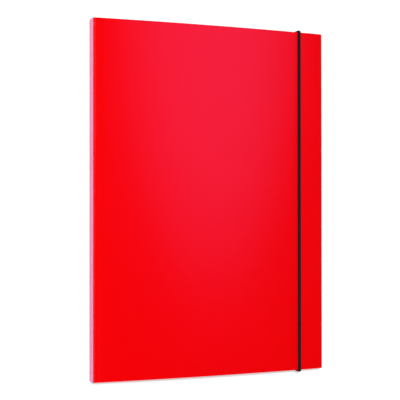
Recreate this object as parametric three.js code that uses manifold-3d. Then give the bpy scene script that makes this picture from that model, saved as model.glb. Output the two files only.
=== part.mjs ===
// Three flap folder: one folded sheet of laminated card, held shut by a cord elastic.
// Millimetres, +Z up. The folder lies on its back panel: spine at -X, fore-edge at +X,
// head at +Y, tail at -Y. The origin is the centre of the underside.

import * as THREE from 'three';
import { mergeVertices } from 'three/addons/utils/BufferGeometryUtils.js';
import Module from 'manifold-3d';

const wasm = await Module();
wasm.setup();

// Sheet of card
const cardThickness = 0.5;
const coverWidth = 240;
const coverHeight = 320;
const spineWidth = 10;
const spineFoldRadius = 1.6;
const coverCornerRadius = 2;
const coverBow = 5;
const creaseInset = 3.2;
const creaseDepth = 0.15;

// Pocket made by the gussets and the three flaps
const coverOverhang = 1;
const flapFoldRadius = 1.1;
const coverClearance = 0.8;
const flapSpacing = 0.5;
const gussetStart = 9;
const foldRelief = 0.9;
const endFlapDepth = 92;
const sideFlapDepth = 104;
const flapTaper = 9;
const flapCornerRadius = 14;

// Elastic and its end clips
const elasticInset = 27.4;
const elasticWidth = 3.4;
const elasticThickness = 1.8;
const elasticClearance = 0.3;
const elasticHoleHeight = 4.4;
const elasticHoleClearance = 0.45;
const lowerBendRadius = 1.2;
const clipLength = 12;
const clipDepth = 2.4;
const clipThickness = 1.2;
const clipEndRadius = 1;
const collarLength = 4.4;
const collarWall = 0.5;
const elasticGrip = 3.6;

// How far a cutting or joining body runs past what it cuts or joins
const cutMargin = 1;

// Smoothness
const foldSteps = 8;
const bowSteps = 28;
const cornerSteps = 8;
const elasticSides = 10;
const bendSteps = 10;
const collarSides = 24;

// Places worked out from the sizes above
const spineX = -coverWidth / 2;
const coverEdgeX = coverWidth / 2;
const coverEndY = coverHeight / 2;
const wallX = coverEdgeX - coverOverhang;
const wallY = coverEndY - coverOverhang;
const gussetX = spineX + gussetStart;
const elasticX = coverEdgeX - elasticInset;
const sideFlapTop = spineWidth - cardThickness - coverClearance;
const endFlapTop = sideFlapTop - cardThickness - flapSpacing;
const tallest = 2 * (spineWidth + coverBow + cutMargin);

const coverMaterial = new THREE.MeshStandardMaterial({ color: 0xe8101c, roughness: 0.3, metalness: 0 });
const elasticMaterial = new THREE.MeshStandardMaterial({ color: 0x141214, roughness: 0.85, metalness: 0 });
const clipMaterial = new THREE.MeshStandardMaterial({ color: 0xb9bbbd, roughness: 0.35, metalness: 1 });

// A section lies in its shape's own plane; these stand it across or along the folder
const acrossFolder = new THREE.Matrix4().makeBasis(
  new THREE.Vector3(1, 0, 0), new THREE.Vector3(0, 0, 1), new THREE.Vector3(0, -1, 0));
const alongFolder = new THREE.Matrix4().makeBasis(
  new THREE.Vector3(0, 1, 0), new THREE.Vector3(0, 0, 1), new THREE.Vector3(1, 0, 0));

// Closed geometry to solid and back
function solidOf(geometry) {
  const bare = geometry.clone();
  bare.deleteAttribute('normal');
  bare.deleteAttribute('uv');
  const merged = mergeVertices(bare, 1e-5);
  return new wasm.Manifold(new wasm.Mesh({
    numProp: 3,
    vertProperties: new Float32Array(merged.attributes.position.array),
    triVerts: new Uint32Array(merged.index.array),
  }));
}

function geometryOf(solid) {
  const mesh = solid.getMesh();
  const geometry = new THREE.BufferGeometry();
  geometry.setAttribute('position', new THREE.BufferAttribute(new Float32Array(mesh.vertProperties), 3));
  geometry.setIndex(new THREE.BufferAttribute(new Uint32Array(mesh.triVerts), 1));
  geometry.computeVertexNormals();
  return geometry;
}

function joined(solids) {
  return solids.reduce((whole, solid) => whole.add(solid));
}

function named(name, geometry, material) {
  const mesh = new THREE.Mesh(geometry, material);
  mesh.name = name;
  return mesh;
}

// Straight prism of a shape, centred on its own plane, then stood up by a matrix
function prism(shape, length, matrix) {
  const geometry = new THREE.ExtrudeGeometry(shape, { depth: length, bevelEnabled: false, steps: 1 });
  geometry.translate(0, 0, -length / 2);
  if (matrix) geometry.applyMatrix4(matrix);
  return solidOf(geometry);
}

// Section of a bent sheet: its middle line given the card's thickness on both sides
function cardSection(middle) {
  const sides = middle.map((point, i) => {
    const before = middle[Math.max(i - 1, 0)];
    const after = middle[Math.min(i + 1, middle.length - 1)];
    const into = point.clone().sub(before).normalize();
    const out = after.clone().sub(point).normalize();
    if (i === 0) into.copy(out);
    if (i === middle.length - 1) out.copy(into);
    const along = into.clone().add(out).normalize();
    const normal = new THREE.Vector2(-along.y, along.x);
    return normal.multiplyScalar(cardThickness / 2 / along.dot(into));
  });
  const left = middle.map((point, i) => point.clone().add(sides[i]));
  const right = middle.map((point, i) => point.clone().sub(sides[i]));
  return new THREE.Shape([...left, ...right.reverse()]);
}

// Quarter bend between two runs at right angles, as points on the card's middle line
function bend(centreX, centreZ, outerRadius, fromAngle, toAngle) {
  const arc = new THREE.EllipseCurve(
    centreX, centreZ, outerRadius - cardThickness / 2, outerRadius - cardThickness / 2,
    fromAngle, toAngle, toAngle < fromAngle);
  return arc.getPoints(foldSteps);
}

// Outline with rounded corners; each point is [x, y, radius]
function roundedOutline(corners) {
  const points = [];
  corners.forEach(([x, y, radius = 0], i) => {
    const corner = new THREE.Vector2(x, y);
    if (radius === 0) {
      points.push(corner);
      return;
    }
    const [px, py] = corners[(i + corners.length - 1) % corners.length];
    const [nx, ny] = corners[(i + 1) % corners.length];
    const toPrevious = new THREE.Vector2(px, py).sub(corner).normalize();
    const toNext = new THREE.Vector2(nx, ny).sub(corner).normalize();
    const halfAngle = Math.acos(toPrevious.dot(toNext)) / 2;
    const reach = radius / Math.tan(halfAngle);
    const round = new THREE.QuadraticBezierCurve(
      corner.clone().addScaledVector(toPrevious, reach),
      corner,
      corner.clone().addScaledVector(toNext, reach));
    points.push(...round.getPoints(cornerSteps));
  });
  return new THREE.Shape(points);
}

// Height of the bowed cover's middle line at a share of the way from crease to fore-edge
function bowHeight(share) {
  return spineWidth - cardThickness / 2 + 4 * coverBow * share * (1 - share);
}

// Cover, spine and the back's spine-side strip, bent from one run of card
function coverAndSpine() {
  const radius = spineFoldRadius;
  const crease = new THREE.Vector2(spineX + creaseInset, bowHeight(0) - creaseDepth);
  const bowStart = spineX + 2 * creaseInset - radius;
  const middle = [
    new THREE.Vector2(gussetX, cardThickness / 2),
    ...bend(spineX + radius, radius, radius, -Math.PI / 2, -Math.PI),
    ...bend(spineX + radius, spineWidth - radius, radius, Math.PI, Math.PI / 2),
    crease,
  ];
  for (let i = 0; i <= bowSteps; i += 1) {
    const share = (bowStart + (coverEdgeX - bowStart) * (i / bowSteps) - spineX) / coverWidth;
    middle.push(new THREE.Vector2(spineX + coverWidth * share, bowHeight(share)));
  }
  const strip = prism(cardSection(middle), coverHeight, acrossFolder);
  const plan = prism(roundedOutline([
    [spineX - cutMargin, -coverEndY],
    [coverEdgeX, -coverEndY, coverCornerRadius],
    [coverEdgeX, coverEndY, coverCornerRadius],
    [spineX - cutMargin, coverEndY],
  ]), tallest);
  // The spine's ends slope in from the cover's length to the back's
  const ends = prism(new THREE.Shape([
    new THREE.Vector2(-wallY, 0),
    new THREE.Vector2(wallY, 0),
    new THREE.Vector2(coverEndY, spineWidth - spineFoldRadius),
    new THREE.Vector2(coverEndY, tallest),
    new THREE.Vector2(-coverEndY, tallest),
    new THREE.Vector2(-coverEndY, spineWidth - spineFoldRadius),
  ]), 2 * coverWidth, alongFolder);
  return strip.intersect(plan).intersect(ends);
}

// Flat back panel up to the start of the folds
function backPanel() {
  const startX = spineX + spineFoldRadius;
  const foldX = wallX - flapFoldRadius;
  const foldY = wallY - flapFoldRadius;
  const outline = new THREE.Shape([
    new THREE.Vector2(startX, -wallY),
    new THREE.Vector2(gussetX, -wallY),
    new THREE.Vector2(gussetX, -foldY),
    new THREE.Vector2(foldX, -foldY),
    new THREE.Vector2(foldX, foldY),
    new THREE.Vector2(gussetX, foldY),
    new THREE.Vector2(gussetX, wallY),
    new THREE.Vector2(startX, wallY),
  ]);
  const geometry = new THREE.ExtrudeGeometry(outline, { depth: cardThickness, bevelEnabled: false });
  return solidOf(geometry);
}

// Gusset wall and flap: up from the back at a wall, then folded in over the pocket
function flapSection(wall, depth, top, side) {
  const radius = flapFoldRadius;
  const middle = [
    new THREE.Vector2(wall - radius - foldRelief - cutMargin, cardThickness / 2),
    ...bend(wall - radius, radius, radius, -Math.PI / 2, 0),
    ...bend(wall - radius, top - radius, radius, 0, Math.PI / 2),
    new THREE.Vector2(wall - depth, top - cardThickness / 2),
  ];
  return cardSection(middle.map((point) => new THREE.Vector2(side * point.x, point.y)));
}

function sideFlap() {
  const reach = wallY - flapFoldRadius - foldRelief;
  const rootX = wallX - flapFoldRadius;
  const tipX = wallX - sideFlapDepth;
  const section = flapSection(wallX, sideFlapDepth, sideFlapTop, 1);
  const strip = prism(section, coverHeight, acrossFolder);
  const plan = prism(roundedOutline([
    [wallX + cutMargin, -reach],
    [wallX + cutMargin, reach],
    [rootX, reach],
    [tipX, reach - flapTaper, flapCornerRadius],
    [tipX, flapTaper - reach, flapCornerRadius],
    [rootX, -reach],
  ]), tallest);
  return strip.intersect(plan);
}

// Flap at the head (side 1) or the tail (side -1), with the elastic's hole in its gusset
function endFlap(side) {
  const farX = wallX - flapFoldRadius - foldRelief;
  const outerY = side * (wallY + cutMargin);
  const rootY = side * (wallY - flapFoldRadius);
  const tipY = side * (wallY - endFlapDepth);
  const section = flapSection(wallY, endFlapDepth, endFlapTop, side);
  const strip = prism(section, 2 * coverWidth, alongFolder);
  const plan = prism(roundedOutline([
    [gussetX, outerY],
    [gussetX, rootY],
    [gussetX + flapTaper, tipY, flapCornerRadius],
    [farX - flapTaper, tipY, flapCornerRadius],
    [farX, rootY],
    [farX, outerY],
  ]), tallest);
  const radius = elasticWidth / 2 + elasticHoleClearance;
  const hole = new THREE.CylinderGeometry(radius, radius, 2 * (cardThickness + cutMargin), collarSides);
  hole.translate(elasticX, side * (wallY - cardThickness / 2), elasticHoleHeight);
  return strip.intersect(plan).subtract(solidOf(hole));
}

const folderCard = joined([coverAndSpine(), backPanel(), sideFlap(), endFlap(1), endFlap(-1)]);

// Elastic: from clip to clip round the outside of the cover, over its two ends
class ElasticRoute extends THREE.Curve {
  constructor(legs) {
    super();
    this.legs = legs;
    this.steps = legs.reduce((sum, leg) => sum + leg.steps, 0);
  }

  // Each leg takes its own share of the steps, so that the tight bends are smooth
  getPoint(t, target = new THREE.Vector3()) {
    let step = Math.min(Math.max(t, 0), 1) * this.steps;
    let index = 0;
    while (index < this.legs.length - 1 && step > this.legs[index].steps) {
      step -= this.legs[index].steps;
      index += 1;
    }
    const leg = this.legs[index];
    return target.copy(leg.at(step / leg.steps));
  }

  getUtoTmapping(u) {
    return u;
  }
}

function straightLeg(from, to, steps) {
  return { steps, at: (t) => from.clone().lerp(to, t) };
}

// Bend in the plane across the folder's end, round a centre at (y, z)
function bendLeg(y, z, radius, fromAngle, toAngle) {
  return {
    steps: bendSteps,
    at: (t) => {
      const angle = fromAngle + (toAngle - fromAngle) * t;
      return new THREE.Vector3(elasticX, y + radius * Math.cos(angle), z + radius * Math.sin(angle));
    },
  };
}

const coverShareAtElastic = (elasticX - spineX) / coverWidth;
const coverTopAtElastic = bowHeight(coverShareAtElastic) + cardThickness / 2;
const standOff = elasticClearance + elasticThickness / 2;

function elasticCord() {
  const frontZ = coverTopAtElastic + standOff;
  const innerY = wallY - cardThickness - elasticClearance - elasticGrip;
  const lowerY = wallY + elasticClearance;
  const lowerZ = elasticHoleHeight + lowerBendRadius;
  const at = (y, z) => new THREE.Vector3(elasticX, y, z);
  const quarter = Math.PI / 2;
  // The taut stretch between the two bends leans in from the cover's edge to the gusset's hole
  const across = coverEndY - lowerY;
  const down = coverTopAtElastic - lowerZ;
  const lean = Math.atan2(across, down) + Math.asin((standOff - lowerBendRadius) / Math.hypot(across, down));
  const leanFrom = (side, y, z, radius) =>
    at(side * (y + radius * Math.cos(lean)), z - radius * Math.sin(lean));
  const route = new ElasticRoute([
    straightLeg(at(-innerY, elasticHoleHeight), at(-lowerY, elasticHoleHeight), 2),
    bendLeg(-lowerY, lowerZ, lowerBendRadius, -quarter, lean - 2 * quarter),
    straightLeg(
      leanFrom(-1, lowerY, lowerZ, lowerBendRadius), leanFrom(-1, coverEndY, coverTopAtElastic, standOff), 2),
    bendLeg(-coverEndY, coverTopAtElastic, standOff, 2 * quarter + lean, quarter),
    straightLeg(at(-coverEndY, frontZ), at(coverEndY, frontZ), 4),
    bendLeg(coverEndY, coverTopAtElastic, standOff, quarter, -lean),
    straightLeg(
      leanFrom(1, coverEndY, coverTopAtElastic, standOff), leanFrom(1, lowerY, lowerZ, lowerBendRadius), 2),
    bendLeg(lowerY, lowerZ, lowerBendRadius, -lean, -quarter),
    straightLeg(at(lowerY, elasticHoleHeight), at(innerY, elasticHoleHeight), 2),
  ]);
  // The sweep lays its section's first axis through the folder and its second across it
  const oval = ovalShape(elasticThickness, elasticWidth, elasticSides);
  return new THREE.ExtrudeGeometry(oval, { steps: route.steps, extrudePath: route, bevelEnabled: false });
}

// Oval section of the elastic, its clip's collar and the collar's bore
function ovalShape(width, thickness, sides) {
  const round = new THREE.EllipseCurve(0, 0, width / 2, thickness / 2);
  return new THREE.Shape(round.getPoints(sides).slice(0, -1));
}

// Clip on an end of the elastic: a crimped collar with a bar across it. Its origin is the
// middle of the face that bears on the gusset, with the collar running back along -Y
function cordClip() {
  const bar = prism(roundedOutline([
    [-clipLength / 2, -clipDepth, clipEndRadius],
    [clipLength / 2, -clipDepth, clipEndRadius],
    [clipLength / 2, 0, clipEndRadius],
    [-clipLength / 2, 0, clipEndRadius],
  ]), clipThickness);
  const boreWidth = elasticWidth + 2 * elasticClearance;
  const boreThickness = elasticThickness + 2 * elasticClearance;
  const wall = 2 * collarWall;
  const collarPlace = new THREE.Matrix4().makeTranslation(0, -collarLength / 2, 0).multiply(acrossFolder);
  const collar = prism(ovalShape(boreWidth + wall, boreThickness + wall, collarSides), collarLength, collarPlace);
  const bore = prism(ovalShape(boreWidth, boreThickness, collarSides), 2 * (collarLength + cutMargin), acrossFolder);
  return geometryOf(bar.add(collar).subtract(bore));
}

function placedClip(name, side) {
  const clip = named(name, cordClip(), clipMaterial);
  clip.position.set(elasticX, side * (wallY - cardThickness - elasticClearance), elasticHoleHeight);
  clip.rotation.z = side > 0 ? 0 : Math.PI;
  return clip;
}

const folder = new THREE.Group();
folder.name = 'three_flap_folder';
folder.add(named('folder_card', geometryOf(folderCard), coverMaterial));
folder.add(named('elastic_cord', elasticCord(), elasticMaterial));
folder.add(placedClip('cord_clip_top', 1));
folder.add(placedClip('cord_clip_bottom', -1));

export default folder;
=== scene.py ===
import math

import bmesh
import bpy
from mathutils import Matrix, Vector, noise


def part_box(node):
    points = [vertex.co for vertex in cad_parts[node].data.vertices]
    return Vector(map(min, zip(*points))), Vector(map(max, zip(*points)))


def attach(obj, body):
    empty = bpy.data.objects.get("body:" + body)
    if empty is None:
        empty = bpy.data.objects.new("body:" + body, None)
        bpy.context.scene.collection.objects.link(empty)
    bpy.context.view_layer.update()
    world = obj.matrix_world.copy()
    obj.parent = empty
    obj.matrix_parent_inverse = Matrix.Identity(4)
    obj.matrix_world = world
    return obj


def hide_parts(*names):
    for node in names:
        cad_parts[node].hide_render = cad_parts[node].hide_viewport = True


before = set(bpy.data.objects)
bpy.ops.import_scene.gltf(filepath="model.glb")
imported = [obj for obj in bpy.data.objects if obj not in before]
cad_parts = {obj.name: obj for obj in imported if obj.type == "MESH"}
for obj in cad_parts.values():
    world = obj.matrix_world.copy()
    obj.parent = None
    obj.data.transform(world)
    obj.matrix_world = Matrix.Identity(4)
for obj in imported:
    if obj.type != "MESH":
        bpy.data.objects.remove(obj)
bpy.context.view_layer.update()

MM = 0.001
NEAR = 0.01 * MM
WELD = 0.001 * MM
X_AXIS = 0
Y_AXIS = 1
Z_AXIS = 2

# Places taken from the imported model
CARD_LOW, CARD_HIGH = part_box("folder_card")
CORD_LOW, CORD_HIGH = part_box("elastic_cord")
CLIP_LOW, CLIP_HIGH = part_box("cord_clip_top")
SPINE_X = CARD_LOW.x
EDGE_X = CARD_HIGH.x
HEAD_Y = CARD_HIGH.y
CORD_X = (CORD_LOW.x + CORD_HIGH.x) / 2
CORD_HOLE_Z = (CLIP_LOW.z + CLIP_HIGH.z) / 2

# The sheet of card
CARD = 0.5 * MM
SPINE_WIDTH = 10 * MM
SPINE_FOLD = 1.6 * MM
COVER_CORNER = 2 * MM
COVER_CORNER_STEPS = 8
CREASE_INSET = 3.2 * MM
CREASE_DEPTH = 0.15 * MM
COVER_BOW = CARD_HIGH.z - SPINE_WIDTH
COVER_STEPS = 48
LENGTH_STEPS = 40
FOLD_STEPS = 10
CARD_SMOOTH = 30
COVER_WAVE = 0.05 * MM
WAVE_SCALE = 14
# Span of the spine's painted glare: a paler colour standing in for light mirrored in its glossy film
SPINE_GLARE_START = 0.02 * MM
SPINE_GLARE_END = 0.14 * MM

# Gussets and flaps
OVERHANG = 1 * MM
FLAP_FOLD = 1.1 * MM
GUSSET_START = 9 * MM
FOLD_RELIEF = 0.9 * MM
SIDE_FLAP_TOP = 8.7 * MM
END_FLAP_TOP = 7.7 * MM
SIDE_FLAP_DEPTH = 104 * MM
END_FLAP_DEPTH = 92 * MM
FLAP_TAPER = 9 * MM
FLAP_CORNER = 14 * MM
FLAP_CORNER_STEPS = 10
WALL_X = EDGE_X - OVERHANG
WALL_Y = HEAD_Y - OVERHANG

# Elastic and its end clips
CORD_WIDTH = 3.4 * MM
CORD_THICKNESS = 1.8 * MM
CORD_GAP = 0.05 * MM
CORD_HOLE_SLACK = 0.45 * MM
CORD_HOLE = CORD_WIDTH + 2 * CORD_HOLE_SLACK
PUNCH_LENGTH = 3 * MM
PUNCH_SIDES = 64
CORD_BEND = 1.1 * MM
CORD_SIDES = 48
CORD_STEP = 0.24 * MM
CORD_BEND_STEPS = 12
CORD_SMOOTH = 40
CORD_STRANDS = 8
BRAID_PITCH = 0.9 * MM
BRAID_RELIEF = 0.05 * MM
STRAND_HEIGHT = 0.65
CROSSING_HEIGHT = 0.35
CLIP_GAP = 0.3 * MM
CLIP_LENGTH = 12 * MM
CLIP_DEPTH = 2.4 * MM
CLIP_THICKNESS = 1.2 * MM
CLIP_END = 1 * MM
CLIP_END_STEPS = 10
CLIP_ROUND = 0.18 * MM
CLIP_ROUND_STEPS = 4
CLIP_SMOOTH = 35
COLLAR_LENGTH = 4.4 * MM
COLLAR_WALL = 0.5 * MM
COLLAR_SLACK = 0.3 * MM
COLLAR_DENT = 0.16 * MM
DENT_PLACE = 2.4 * MM
DENT_WIDTH = 0.7 * MM
COLLAR_STEPS = 24
COLLAR_SIDES = 64
BORE_LENGTH = 3 * COLLAR_LENGTH
CORD_GRIP = 3.6 * MM

# Colours, linear
FILM_RED = (0.93, 0.0004, 0.0014, 1)
# Painted glare: a pale pink standing in for light mirrored in the spine's glossy film
FILM_PAINTED_GLARE = (0.95, 0.18, 0.46, 1)
BOARD_WHITE = (0.80, 0.785, 0.75, 1)
BOARD_SHADE = (0.45, 0.40, 0.33, 1)
CUT_BOARD = (0.72, 0.69, 0.64, 1)
CORD_BLACK = (0.003, 0.002, 0.003, 1)
# Pale fluff on the raised strands, partly a painted highlight
CORD_FLUFF_AND_HIGHLIGHT = (0.5, 0.45, 0.5, 1)
NICKEL = (0.62, 0.61, 0.59, 1)
NICKEL_SHADE = (0.2, 0.18, 0.15, 1)
BLACK = (0, 0, 0, 1)
WHITE = (1, 1, 1, 1)

# Scales of the surface noises, in features per metre
INK_CLOUD = 60
FILM_PEEL = 1500
FILM_SLACK = 90
# Handling noise: varies the film's roughness and makes the spine's painted glare patchy
HANDLING_AND_GLARE = 22
FIBRES = 2600
BOARD_CLOUD = 180
FLUFF = 4000
TUMBLING = 3500
PLATING_CLOUD = 350

# Shares of the darker or paler colour in each surface
INK_SHADE_SHARE = 0.35
BOARD_SHADE_SHARE = 0.45
FLUFF_SHARE = 0.06
NICKEL_SHADE_SHARE = 0.25

# Painted glare on the spine, roughness and relief
GLARE_LEAST = 0.66
GLARE_SPREAD = 0.6
FILM_ROUGHNESS = 0.2
FILM_ROUGHNESS_SPREAD = 0.06
PEEL_SHARE = 0.12
FIBRE_STRETCH = (1.0, 0.3, 1.0)
NICKEL_ROUGHNESS = 0.2
NICKEL_ROUGHNESS_SPREAD = 0.2
FILM_BUMP = 0.005 * MM
BOARD_BUMP = 0.02 * MM
CUT_BUMP = 0.03 * MM
THREAD_BUMP = 0.03 * MM
NICKEL_BUMP = 0.004 * MM

# Places of a colour mix node's two colours and its result among its sockets
MIX_FIRST = 6
MIX_SECOND = 7
MIX_RESULT = 2

# Places of the board and the cut edge among the sheet's materials, after the film
BOARD_PLACE = 1
CUT_PLACE = 2

# Mesh helpers

def new_object(name, bm):
    mesh = bpy.data.meshes.new(name)
    bm.to_mesh(mesh)
    bm.free()
    piece = bpy.data.objects.new(name, mesh)
    bpy.context.scene.collection.objects.link(piece)
    return piece


def apply_modifiers(piece):
    graph = bpy.context.evaluated_depsgraph_get()
    finished = bpy.data.meshes.new_from_object(piece.evaluated_get(graph))
    piece.modifiers.clear()
    piece.data = finished


def edges_at(bm, x=None, y=None, x_range=None, y_range=None):
    """Border edges on the back's outer face whose middle lies on the given lines and inside the ranges."""
    found = []
    for edge in bm.edges:
        middle = (edge.verts[0].co + edge.verts[1].co) / 2
        if abs(middle.z) > NEAR:
            continue
        if x is not None and abs(middle.x - x) > NEAR:
            continue
        if y is not None and abs(middle.y - y) > NEAR:
            continue
        if x_range and not x_range[0] < middle.x < x_range[1]:
            continue
        if y_range and not y_range[0] < middle.y < y_range[1]:
            continue
        if len(edge.link_faces) == 1:
            found.append(edge)
    return found


def carried_on(bm, edges, step):
    """Carries the sheet on from its edges by one step, and returns the new edges."""
    made = bmesh.ops.extrude_edge_only(bm, edges=edges)["geom"]
    verts = [item for item in made if isinstance(item, bmesh.types.BMVert)]
    bmesh.ops.translate(bm, verts=verts, vec=step)
    fresh = set(verts)
    return [item for item in made if isinstance(item, bmesh.types.BMEdge) and fresh.issuperset(item.verts)]


def folded_on(bm, edges, centre, axis):
    """Bends the sheet on from its edges by a right angle, and returns the new edges."""
    made = bmesh.ops.spin(
        bm, geom=edges, cent=centre, axis=axis, angle=math.pi / 2, steps=FOLD_STEPS, use_duplicate=False)
    return [item for item in made["geom_last"] if isinstance(item, bmesh.types.BMEdge)]


def verts_of(edges):
    return list({vert for edge in edges for vert in edge.verts})


def all_of(bm):
    return list(bm.verts) + list(bm.edges) + list(bm.faces)


# Folded card

def bow_height(x):
    """Height of the cover's outer face: an even bow that is highest halfway to the fore-edge."""
    share = (x - SPINE_X) / (EDGE_X - SPINE_X)
    return SPINE_WIDTH + 4 * COVER_BOW * share * (1 - share)


def back_panel(bm):
    """The back's outer face, cut into cells whose borders are where folds start and end."""
    left, right = SPINE_X + SPINE_FOLD, WALL_X - FLAP_FOLD
    fold_y = WALL_Y - FLAP_FOLD
    bmesh.ops.create_grid(bm, x_segments=1, y_segments=1, size=0.5)
    bmesh.ops.scale(bm, verts=bm.verts, vec=(right - left, 2 * fold_y, 1))
    bmesh.ops.translate(bm, verts=bm.verts, vec=((left + right) / 2, 0, 0))
    gusset_x = SPINE_X + GUSSET_START
    for x in (gusset_x, right - FOLD_RELIEF):
        bmesh.ops.bisect_plane(bm, geom=all_of(bm), plane_co=(x, 0, 0), plane_no=(1, 0, 0))
    for y in (-fold_y + FOLD_RELIEF, fold_y - FOLD_RELIEF):
        bmesh.ops.bisect_plane(bm, geom=all_of(bm), plane_co=(0, y, 0), plane_no=(0, 1, 0))
    for side in (-1, 1):
        strip = edges_at(bm, y=side * fold_y, x_range=(left, gusset_x))
        carried_on(bm, strip, Vector((0, side * FLAP_FOLD, 0)))


def spine_and_cover(bm):
    start_x = SPINE_X + SPINE_FOLD
    edges = edges_at(bm, x=start_x)
    edges = folded_on(bm, edges, (start_x, 0, SPINE_FOLD), (0, 1, 0))
    edges = carried_on(bm, edges, Vector((0, 0, SPINE_WIDTH - 2 * SPINE_FOLD)))
    bmesh.ops.scale(bm, verts=verts_of(edges), vec=(1, HEAD_Y / WALL_Y, 1))
    edges = folded_on(bm, edges, (start_x, 0, SPINE_WIDTH - SPINE_FOLD), (0, 1, 0))
    edges = carried_on(bm, edges, Vector((CREASE_INSET - SPINE_FOLD, 0, -CREASE_DEPTH)))
    x = SPINE_X + CREASE_INSET
    z = SPINE_WIDTH - CREASE_DEPTH
    bow_start = SPINE_X + 2 * CREASE_INSET - SPINE_FOLD
    for i in range(COVER_STEPS + 1):
        next_x = bow_start + (EDGE_X - bow_start) * i / COVER_STEPS
        next_z = bow_height(next_x)
        edges = carried_on(bm, edges, Vector((next_x - x, 0, next_z - z)))
        x, z = next_x, next_z
    free = verts_of(edges)
    corners = [max(free, key=lambda vert: vert.co.y), min(free, key=lambda vert: vert.co.y)]
    bmesh.ops.bevel(
        bm, geom=corners, offset=COVER_CORNER, offset_type="OFFSET", segments=COVER_CORNER_STEPS,
        profile=0.5, affect="VERTICES", material=-1)


def tapered_tip(bm, edges, axis):
    """Draws in the two ends of a flap's free edge and rounds its corners."""
    tip = verts_of(edges)
    middle = sum((vert.co[axis] for vert in tip)) / len(tip)
    ends = [max(tip, key=lambda vert: vert.co[axis]), min(tip, key=lambda vert: vert.co[axis])]
    for vert in ends:
        vert.co[axis] -= math.copysign(FLAP_TAPER, vert.co[axis] - middle)
    bmesh.ops.bevel(
        bm, geom=ends, offset=FLAP_CORNER, offset_type="OFFSET", segments=FLAP_CORNER_STEPS,
        profile=0.5, affect="VERTICES", material=-1)


def side_flap(bm):
    fold_x = WALL_X - FLAP_FOLD
    reach = WALL_Y - FLAP_FOLD - FOLD_RELIEF
    edges = edges_at(bm, x=fold_x, y_range=(-reach, reach))
    edges = folded_on(bm, edges, (fold_x, 0, FLAP_FOLD), (0, -1, 0))
    edges = carried_on(bm, edges, Vector((0, 0, SIDE_FLAP_TOP - 2 * FLAP_FOLD)))
    edges = folded_on(bm, edges, (fold_x, 0, SIDE_FLAP_TOP - FLAP_FOLD), (0, -1, 0))
    edges = carried_on(bm, edges, Vector((FLAP_FOLD - SIDE_FLAP_DEPTH, 0, 0)))
    tapered_tip(bm, edges, Y_AXIS)


def end_flap(bm, side):
    fold_y = side * (WALL_Y - FLAP_FOLD)
    span = (SPINE_X + GUSSET_START, WALL_X - FLAP_FOLD - FOLD_RELIEF)
    edges = edges_at(bm, y=fold_y, x_range=span)
    edges = folded_on(bm, edges, (0, fold_y, FLAP_FOLD), (side, 0, 0))
    edges = carried_on(bm, edges, Vector((0, 0, END_FLAP_TOP - 2 * FLAP_FOLD)))
    edges = folded_on(bm, edges, (0, fold_y, END_FLAP_TOP - FLAP_FOLD), (side, 0, 0))
    edges = carried_on(bm, edges, Vector((0, side * (FLAP_FOLD - END_FLAP_DEPTH), 0)))
    tapered_tip(bm, edges, X_AXIS)


def folded_card():
    bm = bmesh.new()
    back_panel(bm)
    spine_and_cover(bm)
    side_flap(bm)
    end_flap(bm, 1)
    end_flap(bm, -1)
    bmesh.ops.recalc_face_normals(bm, faces=bm.faces)
    lowest = min(bm.faces, key=lambda face: face.calc_center_median().z)
    if lowest.normal.z > 0:
        bmesh.ops.reverse_faces(bm, faces=bm.faces)
    ripple(bm)
    sheet = new_object("card_sheet", bm)
    for material in (film, board, cut_edge):
        sheet.data.materials.append(material)
    thicken(sheet)
    for side in (-1, 1):
        cut_hole(sheet, Vector((CORD_X, side * WALL_Y, CORD_HOLE_Z)))
    smooth(sheet, CARD_SMOOTH)
    return sheet


def ripple(bm):
    """Gives the cover the faint unevenness of a card sheet, leaving all borders where they are."""
    for i in range(1, LENGTH_STEPS):
        y = WALL_Y * (2 * i / LENGTH_STEPS - 1)
        cover = [face for face in bm.faces if face.calc_center_median().z > SPINE_WIDTH - CREASE_DEPTH / 2]
        borders = list({edge for face in cover for edge in face.edges})
        bmesh.ops.bisect_plane(
            bm, geom=cover + borders + verts_of(borders), plane_co=(0, y, 0), plane_no=(0, 1, 0))
    for vert in bm.verts:
        if vert.co.z > SPINE_WIDTH and not vert.is_boundary:
            place = Vector((vert.co.x, vert.co.y, 0)) * WAVE_SCALE
            vert.co.z += COVER_WAVE * noise.noise(place)


def thicken(sheet):
    solid = sheet.modifiers.new("card", "SOLIDIFY")
    solid.thickness = CARD
    solid.offset = -1
    solid.use_even_offset = True
    solid.use_rim = True
    solid.material_offset = BOARD_PLACE
    solid.material_offset_rim = CUT_PLACE
    apply_modifiers(sheet)


def cut_hole(sheet, centre):
    """Punches the elastic's round hole through an end gusset."""
    bm = bmesh.new()
    bmesh.ops.create_cone(
        bm, cap_ends=True, segments=PUNCH_SIDES, radius1=CORD_HOLE / 2, radius2=CORD_HOLE / 2,
        depth=PUNCH_LENGTH, matrix=Matrix.Translation(centre) @ Matrix.Rotation(math.pi / 2, 4, "X"))
    for face in bm.faces:
        face.material_index = CUT_PLACE
    punch = new_object("punch", bm)
    for material in (film, board, cut_edge):
        punch.data.materials.append(material)
    cut = sheet.modifiers.new("hole", "BOOLEAN")
    cut.operation = "DIFFERENCE"
    cut.solver = "EXACT"
    cut.material_mode = "INDEX"
    cut.object = punch
    apply_modifiers(sheet)
    bpy.data.objects.remove(punch)


# Elastic

def arc(y, z, radius, start, end):
    """Points on a bend in the plane across the folder's end, by its angles in degrees."""
    steps = CORD_BEND_STEPS
    angles = [math.radians(start + (end - start) * i / steps) for i in range(1, steps)]
    return [(y + radius * math.cos(angle), z + radius * math.sin(angle)) for angle in angles]


def run(start, end):
    """Points on a straight stretch, both ends included."""
    steps = max(1, round(math.dist(start, end) / CORD_STEP))
    return [
        (start[0] + (end[0] - start[0]) * i / steps, start[1] + (end[1] - start[1]) * i / steps)
        for i in range(steps + 1)]


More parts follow.
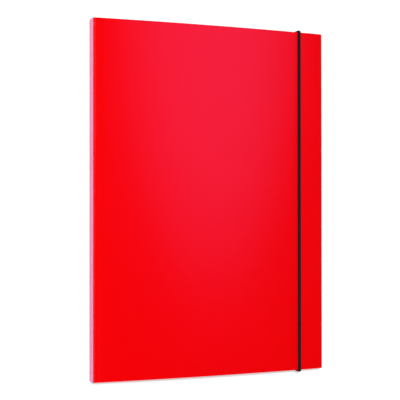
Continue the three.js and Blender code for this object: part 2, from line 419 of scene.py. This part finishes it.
def cord_route():
    """Middle line of the elastic as (y, z) points, from the tail's clip to the head's."""
    cover_z = bow_height(CORD_X)
    stand_off = CORD_GAP + CORD_THICKNESS / 2
    front_z = cover_z + stand_off
    lower_y = WALL_Y + CORD_GAP
    lower_z = CORD_HOLE_Z + CORD_BEND
    across = HEAD_Y - lower_y
    down = cover_z - lower_z
    lean = math.atan2(across, down) + math.asin((stand_off - CORD_BEND) / math.hypot(across, down))
    out_y, out_z = math.cos(lean), -math.sin(lean)
    degrees = math.degrees(lean)
    inner_y = WALL_Y - CARD - CLIP_GAP - CORD_GRIP
    half = run((0, front_z), (HEAD_Y, front_z))
    half += arc(HEAD_Y, cover_z, stand_off, 90, -degrees)
    half += run(
        (HEAD_Y + stand_off * out_y, cover_z + stand_off * out_z),
        (lower_y + CORD_BEND * out_y, lower_z + CORD_BEND * out_z))
    half += arc(lower_y, lower_z, CORD_BEND, -degrees, -90)
    half += run((lower_y, CORD_HOLE_Z), (inner_y, CORD_HOLE_Z))
    return [(-y, z) for y, z in reversed(half[1:])] + half


def braid_height(angle, length):
    """Relief of strands wound both ways and passing over and under each other, from 0 to 1."""
    one = (CORD_STRANDS * angle + 2 * math.pi * length / BRAID_PITCH) / 2
    other = (CORD_STRANDS * angle - 2 * math.pi * length / BRAID_PITCH) / 2
    over = math.cos(one) ** 2 * (STRAND_HEIGHT + CROSSING_HEIGHT * math.cos(2 * other))
    under = math.cos(other) ** 2 * (STRAND_HEIGHT - CROSSING_HEIGHT * math.cos(2 * one))
    return max(over, under)


def elastic():
    """A braided sheet rolled into an oval round the route, with its seam closed."""
    route = cord_route()
    steps = len(route) - 1
    lengths = [0.0]
    for start, end in zip(route, route[1:]):
        lengths.append(lengths[-1] + math.dist(start, end))
    bm = bmesh.new()
    bmesh.ops.create_grid(bm, x_segments=CORD_SIDES, y_segments=steps, size=0.5)
    thread = bm.loops.layers.uv.new("thread")
    for face in bm.faces:
        for loop in face.loops:
            step = round((loop.vert.co.y + 0.5) * steps)
            loop[thread].uv = (loop.vert.co.x + 0.5, lengths[step] / BRAID_PITCH)
    for vert in bm.verts:
        step = round((vert.co.y + 0.5) * steps)
        angle = 2 * math.pi * (vert.co.x + 0.5)
        before = route[max(step - 1, 0)]
        after = route[min(step + 1, steps)]
        out = Vector((0, before[1] - after[1], after[0] - before[0])).normalized()
        relief = BRAID_RELIEF * (braid_height(angle, lengths[step]) - 1)
        vert.co = Vector((CORD_X + (CORD_WIDTH / 2 + relief) * math.cos(angle), *route[step]))
        vert.co += out * (CORD_THICKNESS / 2 + relief) * math.sin(angle)
    bmesh.ops.remove_doubles(bm, verts=bm.verts, dist=WELD)
    ends = [edge for edge in bm.edges if edge.is_boundary]
    bmesh.ops.holes_fill(bm, edges=ends, sides=CORD_SIDES)
    bmesh.ops.recalc_face_normals(bm, faces=bm.faces)
    cord = new_object("elastic", bm)
    cord.data.materials.append(braid)
    smooth(cord, CORD_SMOOTH)
    return cord


# Clips on the elastic's ends

def oval_bar(width, thickness, length):
    """Closed oval bar from y = 0 back to y = -length."""
    bm = bmesh.new()
    bmesh.ops.create_cone(
        bm, cap_ends=True, segments=COLLAR_SIDES, radius1=0.5, radius2=0.5, depth=1,
        matrix=Matrix.Rotation(math.pi / 2, 4, "X"))
    bmesh.ops.scale(bm, verts=bm.verts, vec=(width, length, thickness))
    bmesh.ops.translate(bm, verts=bm.verts, vec=(0, -length / 2, 0))
    return bm


def span_along(edge, axis):
    return abs(edge.verts[0].co[axis] - edge.verts[1].co[axis])


def crimp(bm):
    """Presses a collar in from both sides with the dent that the crimping tool leaves."""
    highest = max(vert.co.z for vert in bm.verts)
    lengthways = [edge for edge in bm.edges if span_along(edge, Y_AXIS) > COLLAR_LENGTH / 2]
    bmesh.ops.subdivide_edges(bm, edges=lengthways, cuts=COLLAR_STEPS)
    for vert in bm.verts:
        press = COLLAR_DENT * math.exp(-((vert.co.y + DENT_PLACE) / DENT_WIDTH) ** 2)
        vert.co.z -= press * (vert.co.z / highest) ** 3


def clip_bar():
    bm = bmesh.new()
    bmesh.ops.create_cube(
        bm, size=1, matrix=Matrix.Diagonal((CLIP_LENGTH, CLIP_DEPTH, CLIP_THICKNESS, 1)))
    bmesh.ops.translate(bm, verts=bm.verts, vec=(0, -CLIP_DEPTH / 2, 0))
    upright = [edge for edge in bm.edges if span_along(edge, Z_AXIS) > CLIP_THICKNESS / 2]
    bmesh.ops.bevel(
        bm, geom=upright, offset=CLIP_END, segments=CLIP_END_STEPS, profile=0.5, affect="EDGES",
        material=-1)
    rims = [edge for edge in bm.edges if span_along(edge, Z_AXIS) < NEAR]
    bmesh.ops.bevel(
        bm, geom=rims, offset=CLIP_ROUND, segments=CLIP_ROUND_STEPS, profile=0.5, affect="EDGES",
        material=-1)
    return new_object("clip", bm)


def combined(piece, bm, operation):
    other = new_object("tool", bm)
    step = piece.modifiers.new("step", "BOOLEAN")
    step.operation = operation
    step.solver = "EXACT"
    step.object = other
    apply_modifiers(piece)
    bpy.data.objects.remove(other)


def clip(name, side):
    piece = clip_bar()
    piece.name = name
    bore_width = CORD_WIDTH + 2 * COLLAR_SLACK
    bore_thickness = CORD_THICKNESS + 2 * COLLAR_SLACK
    collar = oval_bar(bore_width + 2 * COLLAR_WALL, bore_thickness + 2 * COLLAR_WALL, COLLAR_LENGTH)
    crimp(collar)
    combined(piece, collar, "UNION")
    bore = oval_bar(bore_width, bore_thickness, BORE_LENGTH)
    bmesh.ops.translate(bore, verts=bore.verts, vec=(0, COLLAR_LENGTH, 0))
    combined(piece, bore, "DIFFERENCE")
    turn = Matrix.Rotation(0 if side > 0 else math.pi, 4, "Z")
    place = Vector((CORD_X, side * (WALL_Y - CARD - CLIP_GAP), CORD_HOLE_Z))
    piece.data.transform(Matrix.Translation(place) @ turn)
    piece.data.materials.clear()
    piece.data.materials.append(nickel)
    smooth(piece, CLIP_SMOOTH)
    return piece


# Looks

def new_group(name, inputs, outputs):
    """Node group with named sockets, and its first and last nodes."""
    tree = bpy.data.node_groups.new(name, "ShaderNodeTree")
    for label, kind, value in inputs:
        socket = tree.interface.new_socket(label, in_out="INPUT", socket_type="NodeSocket" + kind)
        socket.default_value = value
    for label, kind in outputs:
        tree.interface.new_socket(label, in_out="OUTPUT", socket_type="NodeSocket" + kind)
    return tree, tree.nodes.new("NodeGroupInput"), tree.nodes.new("NodeGroupOutput")


def noise_node(tree, place, scale, detail, roughness=0.5):
    texture = tree.nodes.new("ShaderNodeTexNoise")
    texture.inputs["Scale"].default_value = scale
    texture.inputs["Detail"].default_value = detail
    texture.inputs["Roughness"].default_value = roughness
    tree.links.new(place, texture.inputs["Vector"])
    return texture.outputs["Fac"]


def maths_node(tree, operation, *values):
    math_node = tree.nodes.new("ShaderNodeMath")
    math_node.operation = operation
    for socket, value in zip(math_node.inputs, values):
        if isinstance(value, (int, float)):
            socket.default_value = value
        else:
            tree.links.new(value, socket)
    return math_node.outputs[0]


def blend_node(tree, factor, first, second):
    mix = tree.nodes.new("ShaderNodeMix")
    mix.data_type = "RGBA"
    sockets = (mix.inputs["Factor"], mix.inputs[MIX_FIRST], mix.inputs[MIX_SECOND])
    for socket, value in zip(sockets, (factor, first, second)):
        if isinstance(value, (int, float, tuple)):
            socket.default_value = value
        else:
            tree.links.new(value, socket)
    return mix.outputs[MIX_RESULT]


def object_place(tree):
    return tree.nodes.new("ShaderNodeTexCoord").outputs["Object"]


def film_group():
    """Glossy film on printed card: faint mottle in the ink, fine peel, and a painted glare that makes the
    spine paler, standing in for light mirrored in its film.
    """
    tree, enter, leave = new_group(
        "laminate_film",
        [("Colour", "Color", FILM_RED), ("Painted glare", "Color", FILM_PAINTED_GLARE), ("Mottle", "Float", 0.05)],
        [("Base Color", "Color"), ("Roughness", "Float"), ("Height", "Float")])
    place = object_place(tree)
    cloud = noise_node(tree, place, INK_CLOUD, detail=4)
    peel = noise_node(tree, place, FILM_PEEL, detail=2)
    slack = noise_node(tree, place, FILM_SLACK, detail=1)
    handling_and_glare = noise_node(tree, place, HANDLING_AND_GLARE, detail=3)
    dark = blend_node(tree, INK_SHADE_SHARE, enter.outputs["Colour"], BLACK)
    amount = maths_node(tree, "MULTIPLY", cloud, enter.outputs["Mottle"])
    ink = blend_node(tree, amount, enter.outputs["Colour"], dark)
    split = tree.nodes.new("ShaderNodeSeparateXYZ")
    tree.links.new(place, split.inputs["Vector"])
    # Painted glare: the spine is painted paler where light would glint on its film, in patches set by the
    # handling noise
    spine = tree.nodes.new("ShaderNodeMapRange")
    spine.interpolation_type = "SMOOTHSTEP"
    spine.inputs["From Min"].default_value = SPINE_X + SPINE_GLARE_END
    spine.inputs["From Max"].default_value = SPINE_X + SPINE_GLARE_START
    tree.links.new(split.outputs["X"], spine.inputs["Value"])
    glare_patches = maths_node(tree, "MULTIPLY_ADD", handling_and_glare, GLARE_SPREAD, GLARE_LEAST)
    painted_glare = maths_node(tree, "MULTIPLY", spine.outputs["Result"], glare_patches)
    colour = blend_node(tree, painted_glare, ink, enter.outputs["Painted glare"])
    roughness = maths_node(tree, "MULTIPLY_ADD", handling_and_glare, FILM_ROUGHNESS_SPREAD, FILM_ROUGHNESS)
    height = maths_node(tree, "MULTIPLY_ADD", peel, PEEL_SHARE, slack)
    tree.links.new(colour, leave.inputs["Base Color"])
    tree.links.new(roughness, leave.inputs["Roughness"])
    tree.links.new(height, leave.inputs["Height"])
    return tree


def fibre_group():
    """Uncoated board: pale fibres lying mostly one way."""
    tree, enter, leave = new_group(
        "board_fibre",
        [("Colour", "Color", BOARD_WHITE), ("Depth", "Float", 0.2)],
        [("Base Color", "Color"), ("Height", "Float")])
    stretch = tree.nodes.new("ShaderNodeMapping")
    stretch.inputs["Scale"].default_value = FIBRE_STRETCH
    tree.links.new(object_place(tree), stretch.inputs["Vector"])
    fibres = noise_node(tree, stretch.outputs["Vector"], FIBRES, detail=4, roughness=0.65)
    cloud = noise_node(tree, stretch.outputs["Vector"], BOARD_CLOUD, detail=3)
    dark = blend_node(tree, BOARD_SHADE_SHARE, enter.outputs["Colour"], BOARD_SHADE)
    both = maths_node(tree, "ADD", fibres, cloud)
    amount = maths_node(tree, "MULTIPLY", both, enter.outputs["Depth"])
    colour = blend_node(tree, amount, enter.outputs["Colour"], dark)
    tree.links.new(colour, leave.inputs["Base Color"])
    tree.links.new(fibres, leave.inputs["Height"])
    return tree


def braid_group():
    """Textile cover of the elastic: threads inside the strands, paler where they stand out, as fluff and a
    painted highlight on the strand tops.
    """
    tree, enter, leave = new_group(
        "braided_thread",
        [("Colour", "Color", CORD_BLACK), ("Threads", "Float", 4.0)],
        [("Base Color", "Color"), ("Height", "Float")])
    uv = tree.nodes.new("ShaderNodeUVMap")
    uv.uv_map = "thread"
    split = tree.nodes.new("ShaderNodeSeparateXYZ")
    tree.links.new(uv.outputs["UV"], split.inputs["Vector"])
    turn = maths_node(tree, "MULTIPLY", split.outputs["X"], 2 * math.pi * CORD_STRANDS)
    travel = maths_node(tree, "MULTIPLY", split.outputs["Y"], 2 * math.pi)
    waves = []
    for operation in ("ADD", "SUBTRACT"):
        winding = maths_node(tree, operation, turn, travel)
        phase = maths_node(tree, "MULTIPLY", winding, enter.outputs["Threads"])
        waves.append(maths_node(tree, "COSINE", phase))
    highest = maths_node(tree, "MAXIMUM", *waves)
    height = maths_node(tree, "MULTIPLY_ADD", highest, 0.5, 0.5)
    # Pale fluff weighted by strand height, so it is partly a painted highlight on the raised strands
    fluff = noise_node(tree, object_place(tree), FLUFF, detail=3)
    pale = blend_node(tree, FLUFF_SHARE, enter.outputs["Colour"], CORD_FLUFF_AND_HIGHLIGHT)
    fluff_and_highlight = maths_node(tree, "MULTIPLY", height, fluff)
    colour = blend_node(tree, fluff_and_highlight, enter.outputs["Colour"], pale)
    tree.links.new(colour, leave.inputs["Base Color"])
    tree.links.new(height, leave.inputs["Height"])
    return tree


def plating_group():
    """Satin nickel plating with fine tumbling marks."""
    tree, enter, leave = new_group(
        "satin_plating",
        [("Colour", "Color", NICKEL)],
        [("Base Color", "Color"), ("Roughness", "Float"), ("Height", "Float")])
    place = object_place(tree)
    marks = noise_node(tree, place, TUMBLING, detail=4, roughness=0.7)
    cloud = noise_node(tree, place, PLATING_CLOUD, detail=2)
    dark = blend_node(tree, NICKEL_SHADE_SHARE, enter.outputs["Colour"], NICKEL_SHADE)
    colour = blend_node(tree, cloud, enter.outputs["Colour"], dark)
    roughness = maths_node(tree, "MULTIPLY_ADD", marks, NICKEL_ROUGHNESS_SPREAD, NICKEL_ROUGHNESS)
    tree.links.new(colour, leave.inputs["Base Color"])
    tree.links.new(roughness, leave.inputs["Roughness"])
    tree.links.new(marks, leave.inputs["Height"])
    return tree


def new_material(name, group, colour, bump, constants):
    """Principled surface fed by a group, with its other values set on the shader itself."""
    material = bpy.data.materials.new(name)
    material.use_nodes = True
    tree = material.node_tree
    shader = tree.nodes["Principled BSDF"]
    for label, value in constants.items():
        shader.inputs[label].default_value = value
    effect = tree.nodes.new("ShaderNodeGroup")
    effect.node_tree = group
    effect.inputs["Colour"].default_value = colour
    relief = tree.nodes.new("ShaderNodeBump")
    relief.inputs["Distance"].default_value = bump
    tree.links.new(effect.outputs["Height"], relief.inputs["Height"])
    tree.links.new(relief.outputs["Normal"], shader.inputs["Normal"])
    for label in ("Base Color", "Roughness"):
        if label in effect.outputs:
            tree.links.new(effect.outputs[label], shader.inputs[label])
    return material


def smooth(piece, degrees):
    piece.data.shade_smooth()
    piece.data.set_sharp_from_angle(angle=math.radians(degrees))


fibre = fibre_group()
film = new_material("red_film", film_group(), FILM_RED, FILM_BUMP, {
    "IOR": 1.5, "Specular IOR Level": 0.5, "Coat Weight": 0.6, "Coat Roughness": 0.08, "Coat IOR": 1.6})
board = new_material("white_board", fibre, BOARD_WHITE, BOARD_BUMP, {"Roughness": 0.85})
cut_edge = new_material("cut_board", fibre, CUT_BOARD, CUT_BUMP, {"Roughness": 0.9})
braid = new_material("black_braid", braid_group(), CORD_BLACK, THREAD_BUMP, {
    "Roughness": 0.8, "Specular IOR Level": 0.06})
nickel = new_material("nickel", plating_group(), NICKEL, NICKEL_BUMP, {"Metallic": 1.0})

sheet = folded_card()
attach(sheet, "root")
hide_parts("folder_card")

cord = elastic()
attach(cord, "root")
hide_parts("elastic_cord")

for name, node, side in (("head_clip", "cord_clip_top", 1), ("tail_clip", "cord_clip_bottom", -1)):
    piece = clip(name, side)
    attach(piece, "root")
    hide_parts(node)


# Camera: angles in degrees, fitted to the photograph's outline

VIEW_ELEVATION = 60.95
VIEW_AZIMUTH = -1.23
VIEW_ROLL = -0.034
VIEW_DISTANCE = 1259 * MM
VIEW_TARGET = Vector((-10.69, 0.41, 5.0)) * MM
VIEW_LENS = 123.66
VIEW_NEAR = 0.05
VIEW_FAR = 20.0


def photo_camera():
    up_angle = math.radians(VIEW_ELEVATION)
    side_angle = math.radians(VIEW_AZIMUTH)
    back = Vector((
        -math.cos(up_angle) * math.cos(side_angle), math.cos(up_angle) * math.sin(side_angle),
        math.sin(up_angle)))
    right = Vector((0, 1, 0)).cross(back).normalized()
    up = back.cross(right)
    roll = math.radians(VIEW_ROLL)
    roll_cos, roll_sin = math.cos(roll), math.sin(roll)
    rolled_right = right * roll_cos + up * roll_sin
    rolled_up = up * roll_cos - right * roll_sin
    lens = bpy.data.cameras.new("photo_camera")
    lens.lens = VIEW_LENS
    lens.clip_start = VIEW_NEAR
    lens.clip_end = VIEW_FAR
    camera = bpy.data.objects.new("photo_camera", lens)
    bpy.context.scene.collection.objects.link(camera)
    turn = Matrix((rolled_right, rolled_up, back)).transposed().to_4x4()
    camera.matrix_world = Matrix.Translation(VIEW_TARGET + back * VIEW_DISTANCE) @ turn
    bpy.context.scene.camera = camera


# Floor: lifted towards white where it is seen or mirrored, with the object's shadow kept

FLOOR_SIZE = 8.0
FLOOR_DROP = 0.1 * MM
FLOOR_GREY = 0.70
FLOOR_LIFT = 0.42
FLOOR_FAR_LIFT = 0.8
FLOOR_NEAR = 0.35
FLOOR_FAR = 1.8


def floor():
    bm = bmesh.new()
    bmesh.ops.create_grid(bm, x_segments=1, y_segments=1, size=FLOOR_SIZE / 2)
    bmesh.ops.translate(bm, verts=bm.verts, vec=(0, 0, -FLOOR_DROP))
    plane = new_object("floor", bm)
    material = bpy.data.materials.new("floor")
    material.use_nodes = True
    tree = material.node_tree
    shader = tree.nodes["Principled BSDF"]
    shader.inputs["Base Color"].default_value = (FLOOR_GREY, FLOOR_GREY, FLOOR_GREY, 1)
    shader.inputs["Roughness"].default_value = 1.0
    shader.inputs["Specular IOR Level"].default_value = 0.0
    shader.inputs["Emission Color"].default_value = WHITE
    path = tree.nodes.new("ShaderNodeLightPath")
    seen = maths_node(tree, "MAXIMUM", path.outputs["Is Camera Ray"], path.outputs["Is Glossy Ray"])
    seen = maths_node(tree, "MAXIMUM", seen, path.outputs["Is Transmission Ray"])
    reach = tree.nodes.new("ShaderNodeVectorMath")
    reach.operation = "LENGTH"
    tree.links.new(object_place(tree), reach.inputs[0])
    lift = tree.nodes.new("ShaderNodeMapRange")
    lift.inputs["From Min"].default_value = FLOOR_NEAR
    lift.inputs["From Max"].default_value = FLOOR_FAR
    lift.inputs["To Min"].default_value = FLOOR_LIFT
    lift.inputs["To Max"].default_value = FLOOR_FAR_LIFT
    tree.links.new(reach.outputs["Value"], lift.inputs["Value"])
    strength = maths_node(tree, "MULTIPLY", seen, lift.outputs["Result"])
    tree.links.new(strength, shader.inputs["Emission Strength"])
    plane.data.materials.append(material)


# Key light: high up on the spine's side, and not mirrored in the film

KEY_DIRECTION = (-0.36, 0.16, 0.85)
KEY_DISTANCE = 3.0
KEY_SIZE = 0.45
KEY_POWER = 75


def lamp(name, direction, distance, size, power):
    light = bpy.data.lights.new(name, "AREA")
    light.shape = "DISK"
    light.size = size
    light.energy = power
    source = bpy.data.objects.new(name, light)
    bpy.context.scene.collection.objects.link(source)
    towards = Vector(direction).normalized()
    source.location = towards * distance
    source.rotation_euler = towards.to_track_quat("Z", "Y").to_euler()
    source.visible_glossy = False


# Room: an even grey dome with a dark patch where the cover mirrors it, another where the fold beside
# the spine does, and a blue glow inside the first, which the red film shows as violet. Each reach says
# up to which angle from its middle a patch is full, and at which it ends, in degrees.

DOME = 0.70
DARK_SIDE = Vector((0.485, 0, 0.874))
DARK_REACH = (30, 48)
LOW_SIDE = Vector((-1, 0, 0.4))
LOW_REACH = (38, 56)
GLOW_SIDE = Vector((0.486, 0.142, 0.862))
GLOW_REACH = (0, 13)
GLOW = (0.03, 0.22, 0.75, 1)


def facing(tree, direction, inner, outer):
    """Share of a patch of the dome, from 0 outside it to 1 in its full part."""
    aim = tree.nodes.new("ShaderNodeVectorMath")
    aim.operation = "DOT_PRODUCT"
    aim.inputs[1].default_value = direction.normalized()
    tree.links.new(tree.nodes.new("ShaderNodeTexCoord").outputs["Generated"], aim.inputs[0])
    edge = tree.nodes.new("ShaderNodeMapRange")
    edge.interpolation_type = "SMOOTHSTEP"
    edge.inputs["From Min"].default_value = math.cos(math.radians(outer))
    edge.inputs["From Max"].default_value = math.cos(math.radians(inner))
    tree.links.new(aim.outputs["Value"], edge.inputs["Value"])
    return edge.outputs["Result"]


def room():
    world = bpy.data.worlds.new("room")
    world.use_nodes = True
    tree = world.node_tree
    tree.nodes.clear()
    dome = (DOME, DOME, DOME, 1)
    sky = blend_node(tree, facing(tree, DARK_SIDE, *DARK_REACH), dome, BLACK)
    sky = blend_node(tree, facing(tree, LOW_SIDE, *LOW_REACH), sky, BLACK)
    sky = blend_node(tree, facing(tree, GLOW_SIDE, *GLOW_REACH), sky, GLOW)
    path = tree.nodes.new("ShaderNodeLightPath")
    sky = blend_node(tree, path.outputs["Is Camera Ray"], sky, WHITE)
    background = tree.nodes.new("ShaderNodeBackground")
    tree.links.new(sky, background.inputs["Color"])
    leave = tree.nodes.new("ShaderNodeOutputWorld")
    tree.links.new(background.outputs["Background"], leave.inputs["Surface"])
    bpy.context.scene.world = world


photo_camera()
floor()
room()
lamp("key", KEY_DIRECTION, KEY_DISTANCE, KEY_SIZE, KEY_POWER)
bpy.context.scene.view_settings.view_transform = "Standard"
